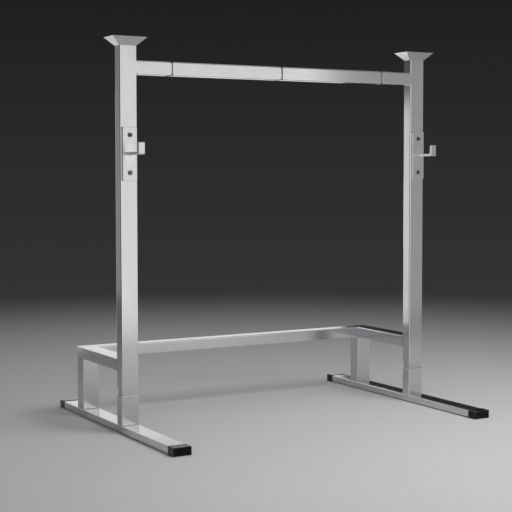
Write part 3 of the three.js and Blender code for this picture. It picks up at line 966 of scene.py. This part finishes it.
def floor_surface(tree, place):
    """The pale floor, a pool of light painted round the stand, which turns smoothly into the darker
    backdrop with the distance.
    """
    stage = bpy.context.scene.stand_stage
    distance = link(tree, "ShaderNodeVectorMath", {0: place}, operation="LENGTH").outputs["Value"]
    feeds = {"Value": distance, 1: PAINTED_POOL_REACH, 2: PAINTED_POOL_END}
    # A painted pool of light: pale near the stand, fading with the distance.
    painted_pool_fade = link(tree, "ShaderNodeMapRange", feeds, interpolation_type="SMOOTHSTEP")
    clouds = noise(tree, place, *FLOOR_CLOUDS)
    pale = mix(tree, clouds, *shades(stage.floor_colour, FLOOR_TONES))
    return {
        "Base Color": mix(tree, painted_pool_fade.outputs["Result"], pale, stage.backdrop_colour),
        "Roughness": FLOOR_ROUGHNESS,
        "Specular IOR Level": 0.0,
    }


# The floor is flat as far as this, and then sweeps up in a quarter circle all round.
FLOOR_REACH = 6.0
SWEEP = 3.0
SWEEP_STEPS = 24
# Radii of the rings that the flat floor is made of, and the steps round each.
FLOOR_RINGS = (0.5, 3.0)
FLOOR_STEPS = 96

# The camera's sensor in millimetres, how far its picture is shifted, and how far it sees.
CAMERA_SENSOR = 36.0
CAMERA_SHIFT = (0.0156, -0.0343)
CAMERA_SIGHT = 200.0

# The studio's glow from all round, and the part that comes from above, which fades with the
# angle from straight up.
PLAIN_GLOW = 0.06
TOP_GLOW = 0.7
TOP_GLOW_SHARPNESS = 3.0

# Softboxes: middle, width, height, the point that each faces, its brightness, and whether it
# lights only the floor or shows only in the steel.
SOFTBOXES = {
    "top_softbox": ((0.6, -1.6, 2.3), 1.8, 1.8, (0.6, -1.6, 0.0), 4.8, "floor"),
    "front_softbox": ((0.31, -2.35, 0.84), 2.64, 1.66, (0.25, -0.1, 0.84), 1.0, "steel"),
    "front_fill": ((2.3, -2.25, 0.84), 1.6, 1.66, (0.0, -0.1, 0.84), 0.4, "steel"),
    "front_left_softbox": ((-2.75, -4.45, 1.1), 2.1, 2.0, (0.0, -0.1, 0.7), 0.75, "steel"),
    "left_softbox": ((-0.78, 2.0, 0.62), 0.95, 1.25, (0.2, 0.0, 0.6), 0.82, "steel"),
    "left_fill": ((-2.2, 2.0, 1.03), 1.7, 1.74, (-0.6, 0.0, 0.9), 0.26, "steel"),
    "flare_fill": ((0.31, 0.9, 0.66), 0.36, 0.36, (0.52, 0.02, 1.26), 1.45, "steel"),
    "rear_softbox": ((1.55, 4.0, 1.2), 2.5, 1.8, (0.2, 0.0, 0.6), 0.86, "steel"),
}


def light_studio():
    """The studio's glow: an even part, and a part from above.

    The second falls off as a power of e, whose exponent is the sharpness times the height of
    the direction less one.
    """
    world = bpy.data.worlds.new("studio")
    bpy.context.scene.world = world
    world.use_nodes = True
    tree = world.node_tree
    direction = link(tree, "ShaderNodeTexCoord").outputs["Generated"]
    height = link(tree, "ShaderNodeSeparateXYZ", {0: direction}).outputs["Z"]
    power = reckon(tree, "MULTIPLY_ADD", height, TOP_GLOW_SHARPNESS, -TOP_GLOW_SHARPNESS)
    fall = reckon(tree, "EXPONENT", power)
    glow = reckon(tree, "MULTIPLY_ADD", fall, TOP_GLOW, PLAIN_GLOW)
    feed(tree, tree.nodes["Background"], {"Strength": glow, "Color": (1.0, 1.0, 1.0, 1.0)})


def hang_softboxes():
    """Soft area lamps. Each one's power is its brightness times its area times pi."""
    for name, (middle, width, height, target, brightness, use) in SOFTBOXES.items():
        lamp = bpy.data.lights.new(name, "AREA")
        lamp.shape = "RECTANGLE"
        lamp.size, lamp.size_y = width, height
        lamp.energy = brightness * width * height * math.pi
        box = add_object(name, lamp)
        turn = (Vector(target) - Vector(middle)).to_track_quat("-Z", "Y")
        box.matrix_world = Matrix.Translation(middle) @ turn.to_matrix().to_4x4()
        box.visible_camera = False
        box.visible_diffuse = use == "floor"
        box.visible_glossy = use == "steel"


class MakeStage(bpy.types.Operator):
    """Lay the floor, light the studio and set the camera"""

    bl_idname = "squat_stand.make_stage"
    bl_label = "Stage"

    def execute(self, context):
        stage = context.scene.stand_stage
        inset, rise = quarter_round(SWEEP, SWEEP_STEPS)
        radii = np.concatenate([FLOOR_RINGS, FLOOR_REACH + SWEEP - inset])
        heights = np.concatenate([np.zeros(len(FLOOR_RINGS)), rise])
        flat = circle_at(np.arange(FLOOR_STEPS) * (4 * QUARTER / FLOOR_STEPS))
        grid = np.zeros((len(radii), FLOOR_STEPS, 3))
        grid[:, :, :2] = radii[:, None, None] * flat
        grid[:, :, 2] = heights[:, None]
        mesh = make_mesh("floor", [skin(grid, closed=(True, False), flip=True)])
        mesh.materials.append(finished("studio_floor", floor_surface))
        add_object("floor", mesh)
        light_studio()
        hang_softboxes()
        camera = add_object("camera", bpy.data.cameras.new("camera"))
        camera.data.lens = stage.camera_lens
        camera.data.sensor_width = CAMERA_SENSOR
        camera.data.shift_x, camera.data.shift_y = CAMERA_SHIFT
        camera.data.clip_end = CAMERA_SIGHT
        camera.matrix_world = (
            Matrix.Translation(stage.camera_place)
            @ Matrix.Rotation(-stage.camera_heading, 4, "Z")
            @ Matrix.Rotation(QUARTER + stage.camera_pitch, 4, "X")
            @ Matrix.Rotation(stage.camera_roll, 4, "Z")
        )
        context.scene.camera = camera
        context.scene.view_settings.view_transform = "Standard"
        return {"FINISHED"}


class MakeFeet(bpy.types.Operator):
    """Make the two long feet"""

    bl_idname = "squat_stand.make_feet"
    bl_label = "Feet"

    def execute(self, context):
        for side in SIDES:
            add_tube(f"{side}_foot", f"{side}_foot_tube", "y", wall=FOOT_WALL)
        return {"FINISHED"}


class MakeBoots(bpy.types.Operator):
    """Make the moulded boots on the ends of the feet"""

    bl_idname = "squat_stand.make_boots"
    bl_label = "Boots"

    def execute(self, context):
        finish = finished("boot_plastic", boot_surface)
        for side in SIDES:
            for end, facing in (("front", -1), ("rear", 1)):
                node = f"{side}_foot_cap_{end}"
                add_piece(f"{side}_{end}_boot", boot(node, facing), finish, "cap_plastic", node)
        return {"FINISHED"}


class MakeColumns(bpy.types.Operator):
    """Make the columns with their stubs and necks"""

    bl_idname = "squat_stand.make_columns"
    bl_label = "Columns"

    def execute(self, context):
        soft = context.scene.stand_shape.edge_break
        for side in SIDES:
            add_tube(f"{side}_stub", f"{side}_column_stub", "z", breaks=(0.0, soft))
            add_spigot(f"{side}_neck", f"{side}_column_spigot", "z", "spigot_steel")
            add_tube(f"{side}_column", f"{side}_column_tube", "z", breaks=(soft, 0.0))
        return {"FINISHED"}


class MakeFlares(bpy.types.Operator):
    """Make the flared tops and their lids"""

    bl_idname = "squat_stand.make_flares"
    bl_label = "Flared Tops"

    def execute(self, context):
        for side in SIDES:
            flare, lid, column = f"{side}_top_flare", f"{side}_flare_lid", f"{side}_column_tube"
            parts = flared_top(flare, column)
            add_piece(f"{side}_flare", parts, steel("shade_painted_flare_steel", "z"), "frame_steel", flare)
            parts = flare_lid(lid, flare, column)
            add_piece(f"{side}_lid", parts, steel("shade_painted_flare_steel", "x"), "frame_steel", lid)
        return {"FINISHED"}


class MakeLowFrame(bpy.types.Operator):
    """Make the rear posts, the side rails and the rear beam"""

    bl_idname = "squat_stand.make_low_frame"
    bl_label = "Low Frame"

    def execute(self, context):
        soft = context.scene.stand_shape.edge_break / 2
        for side, outward in SIDES.items():
            add_tube(f"{side}_post", f"{side}_rear_post", "z", breaks=(soft, soft))
            mitres = (None, (1, outward * RAIL_MITRE))
            add_tube(f"{side}_rail", f"{side}_side_rail", "y", breaks=(0.0, soft), mitres=mitres)
        mitres = ((0, BEAM_MITRE), (0, BEAM_MITRE))
        add_tube("beam", "rear_beam", "x", breaks=(soft, soft), mitres=mitres)
        return {"FINISHED"}


class MakeCrossbar(bpy.types.Operator):
    """Make the crossbar: its stubs, its halves and the spigots in its joints"""

    bl_idname = "squat_stand.make_crossbar"
    bl_label = "Crossbar"

    def execute(self, context):
        soft = context.scene.stand_shape.edge_break
        rounded = context.scene.stand_shape.joint_round
        for side, outward in SIDES.items():
            breaks, crown = ((soft, 0.0), 0.0) if outward > 0 else ((0.0, soft), rounded)
            node = f"{side}_crossbar_stub"
            add_tube(f"{side}_bar_stub", node, "x", breaks=breaks, crown=crown)
            add_tube(f"{side}_bar_half", f"{side}_crossbar_tube", "x", crown=rounded)
            # The spigots' darker steel paints shade into the crossbar's joints.
            add_spigot(f"{side}_bar_spigot", f"{side}_crossbar_spigot", "x", "dull_shade_painted_spigot_steel")
        add_spigot("middle_bar_spigot", "crossbar_middle_spigot", "x", "dull_shade_painted_spigot_steel")
        return {"FINISHED"}


class MakeHooks(bpy.types.Operator):
    """Make the hook plates and the J-hooks"""

    bl_idname = "squat_stand.make_hooks"
    bl_label = "Hooks"

    def execute(self, context):
        finish = steel("hook_plate_steel", "z")
        for side in SIDES:
            node = f"{side}_hook_plate"
            add_piece(f"{side}_plate", hook_plate(node), finish, "hook_steel", node)
            node = f"{side}_j_hook"
            add_piece(f"{side}_hook", j_hook(node), finish, "hook_steel", node)
        return {"FINISHED"}


class MakeFasteners(bpy.types.Operator):
    """Make the bolts and screws that show, and finish the hidden ones"""

    bl_idname = "squat_stand.make_fasteners"
    bl_label = "Bolts and Screws"

    def execute(self, context):
        finish = finished("oiled_bolt_steel", bolt_surface)
        for side in SIDES:
            for place in ("upper", "lower"):
                node = f"{side}_hook_bolt_{place}"
                parts = screw(node, HOOK_BOLT, -1, False)
                add_piece(f"{side}_plate_bolt_{place}", parts, finish, "fastener_steel", node)
                refinish(f"{side}_hook_nut_{place}", steel("spigot_steel", "y"))
            for place in ("column_lock_screw", "crossbar_screw_outer", "crossbar_screw_inner"):
                node = f"{side}_{place}"
                parts = screw(node, LOCK_SCREW, 1, True)
                add_piece(f"{node}_head", parts, finish, "fastener_steel", node)
            refinish(f"{side}_post_bolt", finish)
            refinish(f"{side}_post_nut_plate", steel("spigot_steel", "x"))
        return {"FINISHED"}


class MakeWelds(bpy.types.Operator):
    """Lay the fillet welds in the inner corners and the flush welds of the crossbar"""

    bl_idname = "squat_stand.make_welds"
    bl_label = "Welds"

    def execute(self, context):
        finish = finished("weld_steel", weld_surface)
        nodes = ("foot_tube", "column_stub", "rear_post", "side_rail", "crossbar_stub")
        for side, outward in SIDES.items():
            foot, stub, post, rail, bar = (f"{side}_{node}" for node in nodes)
            column = f"{side}_column_tube"
            foot_top = span(foot)[1][2]
            rail_low, rail_high = (corner[2] for corner in span(rail))
            bar_lo, bar_hi = span(bar)
            column_lo, column_hi = span(column)
            inner, bar_end = (column_lo[0], bar_hi[0]) if outward > 0 else (column_hi[0], bar_lo[0])
            joints = {
                "stub": [cross_weld(stub, foot_top, way, 1) for way in (-1, 1)],
                "post": [
                    cross_weld(post, foot_top, -1, 1),
                    cross_weld(post, foot_top, 1, 1),
                    cross_weld(post, rail_low, -1, -1),
                    side_weld(post, inner, rail_low, -outward, -1),
                ],
                "rail": [cross_weld(column, rail_high, 1, 1), cross_weld(column, rail_low, 1, -1)],
                "bar": [
                    side_weld(bar, inner, bar_hi[2], -outward, 1),
                    side_weld(bar, inner, bar_lo[2], -outward, -1),
                ],
            }
            for joint, welds in joints.items():
                add_piece(f"{side}_{joint}_weld", welds, finish, "frame_steel")
            levels = (bar_lo[2] + TUBE_CORNER, bar_hi[2] - TUBE_CORNER)
            faces = ((column_lo[1], 1), (column_hi[1], -1))
            welds = [flush_weld(inner, bar_end, face, inward, levels) for face, inward in faces]
            add_piece(f"{side}_bar_flush_weld", welds, steel("satin_steel", "x"), "frame_steel")
            add_piece(f"{side}_hook_weld", hook_welds(side), finish, "hook_steel")
        return {"FINISHED"}


MAKERS = (
    MakeStage,
    MakeFeet,
    MakeBoots,
    MakeColumns,
    MakeFlares,
    MakeLowFrame,
    MakeCrossbar,
    MakeHooks,
    MakeFasteners,
    MakeWelds,
)


SETTINGS = {"stand_shape": StandShape, "stand_finish": StandFinish, "stand_stage": StandStage}


class StandPanel(bpy.types.Panel):
    """Sizes, colours and makers of the squat stand"""

    bl_idname = "VIEW3D_PT_squat_stand"
    bl_label = "Squat Stand"
    bl_space_type = "VIEW_3D"
    bl_region_type = "UI"
    bl_category = "Squat Stand"

    def draw(self, context):
        for name in SETTINGS:
            settings = getattr(context.scene, name)
            box = self.layout.box()
            for key in settings.bl_rna.properties.keys():
                if key not in ("rna_type", "name"):
                    box.prop(settings, key)
        for maker in MAKERS:
            self.layout.operator(maker.bl_idname)


CLASSES = (*SETTINGS.values(), *MAKERS, StandPanel)


def register():
    for cls in CLASSES:
        bpy.utils.register_class(cls)
    for name, group in SETTINGS.items():
        setattr(bpy.types.Scene, name, PointerProperty(type=group))


def unregister():
    for name in SETTINGS:
        delattr(bpy.types.Scene, name)
    for cls in reversed(CLASSES):
        bpy.utils.unregister_class(cls)


def main():
    register()
    for maker in MAKERS:
        getattr(bpy.ops.squat_stand, maker.bl_idname.split(".")[1])()


if __name__ == "__main__":
    main()
